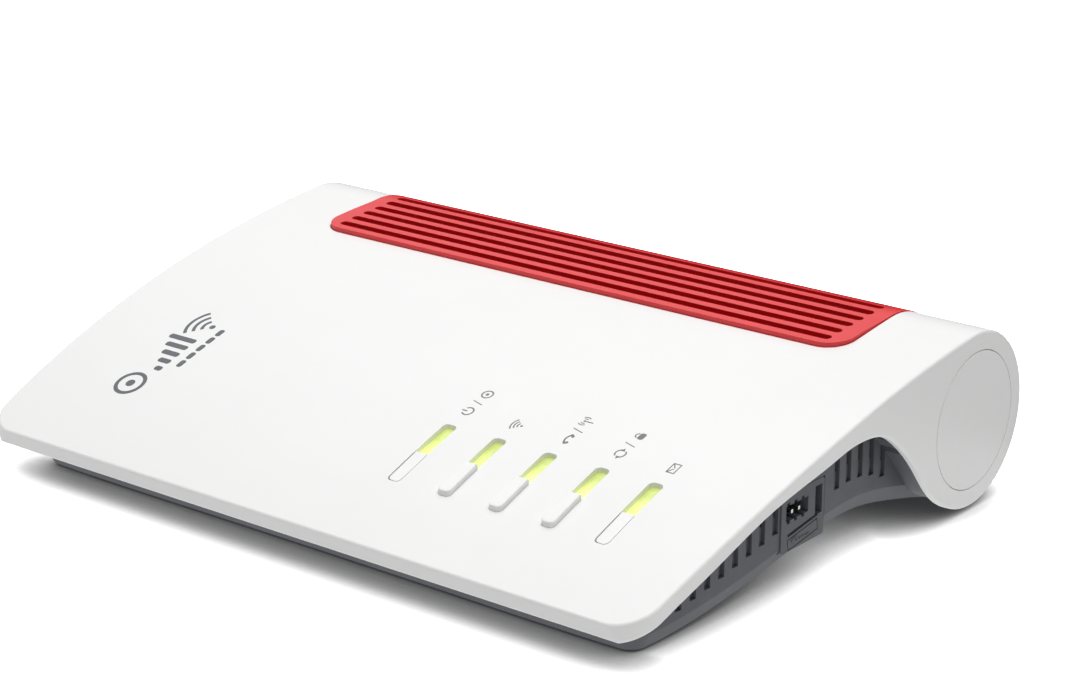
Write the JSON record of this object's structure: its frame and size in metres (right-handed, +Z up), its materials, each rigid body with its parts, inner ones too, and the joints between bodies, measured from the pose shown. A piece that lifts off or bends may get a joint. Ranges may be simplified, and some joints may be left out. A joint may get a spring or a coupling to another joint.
{
  "type": "cable modem",
  "caption": "Wedge-shaped tabletop cable modem with a round roll at the back, a slotted grille, lit status keys and a sunk port bay.",
  "frame": {"origin": "middle of the footprint, on the surface the modem stands on", "axes": "+X across the front to the right, -Y out of the front lip, +Z up"},
  "size_m": [0.251, 0.1799, 0.0539],
  "materials": {
    "shell_white": "fine satin moulded plastic",
    "key_white": "satin moulded plastic",
    "grille_red": "satin moulded plastic",
    "housing_grey": "fine spark-eroded matt plastic",
    "panel_grey": "matt plastic",
    "lamp_window": "diffusing clear plastic, lit yellow-green",
    "lamp_chip": "moulded lamp",
    "switch_black": "matt plastic",
    "plunger_brown": "matt plastic",
    "board_green": "solder mask over glass-fibre board",
    "screw_steel": "zinc-plated",
    "chip_black": "matt epoxy",
    "pad_grey": "soft silicone pad",
    "sink_aluminium": "extruded, plain",
    "can_tin": "tin-plated sheet",
    "antenna_board": "solder mask with copper tracks",
    "lead_black": "thin coaxial lead",
    "connector_nickel": "nickel-plated brass",
    "insulator_white": "white dielectric",
    "socket_black": "matt plastic",
    "socket_grey": "matt plastic",
    "contact_gold": "gold-plated",
    "usb_tongue": "white plastic",
    "foot_rubber": "moulded rubber",
    "label_silver": "blank printed film"
  },
  "bodies": {
    "case": {"top_shell": "shell_white", "vent_grille": "grille_red", "bottom_housing": "housing_grey", "port_panel": "panel_grey", "end_cap_left": "shell_white", "end_cap_right": "shell_white", "inlay_power": "key_white", "inlay_info": "key_white", "light_guides": "lamp_window", "status_leds": "lamp_chip", "tact_switches": "switch_black", "main_board": "board_green", "board_screws": "screw_steel", "case_screws": "screw_steel", "main_chip": "chip_black", "thermal_pad": "pad_grey", "heat_sink": "sink_aluminium", "memory_chips": "chip_black", "tuner_can": "can_tin", "radio_cans": "can_tin", "antenna_left": "antenna_board", "antenna_right": "antenna_board", "antenna_leads": "lead_black", "coax_connector": "connector_nickel", "coax_insulator": "insulator_white", "coax_nut": "connector_nickel", "lan_sockets": "socket_black", "lan_contacts": "contact_gold", "phone_sockets": "socket_grey", "phone_contacts": "contact_gold", "usb_shell": "can_tin", "usb_tongue": "usb_tongue", "power_inlet": "socket_black", "power_pin": "connector_nickel", "side_phone_socket": "housing_grey", "side_contacts": "connector_nickel", "rubber_feet": "foot_rubber", "type_label": "label_silver"},
    "key_wireless": {"key_wireless": "key_white", "plunger_wireless": "plunger_brown"},
    "key_phone": {"key_phone": "key_white", "plunger_phone": "plunger_brown"},
    "key_connect": {"key_connect": "key_white", "plunger_connect": "plunger_brown"}
  },
  "joints": [
    {"name": "key_wireless_press", "type": "slide", "parent": "case", "child": "key_wireless", "axis": [0, 0, -1], "range_m": [0, 0.0007], "stiffness_N_per_m": 1500},
    {"name": "key_phone_press", "type": "slide", "parent": "case", "child": "key_phone", "axis": [0, 0, -1], "range_m": [0, 0.0007], "stiffness_N_per_m": 1500},
    {"name": "key_connect_press", "type": "slide", "parent": "case", "child": "key_connect", "axis": [0, 0, -1], "range_m": [0, 0.0007], "stiffness_N_per_m": 1500}
  ]
}
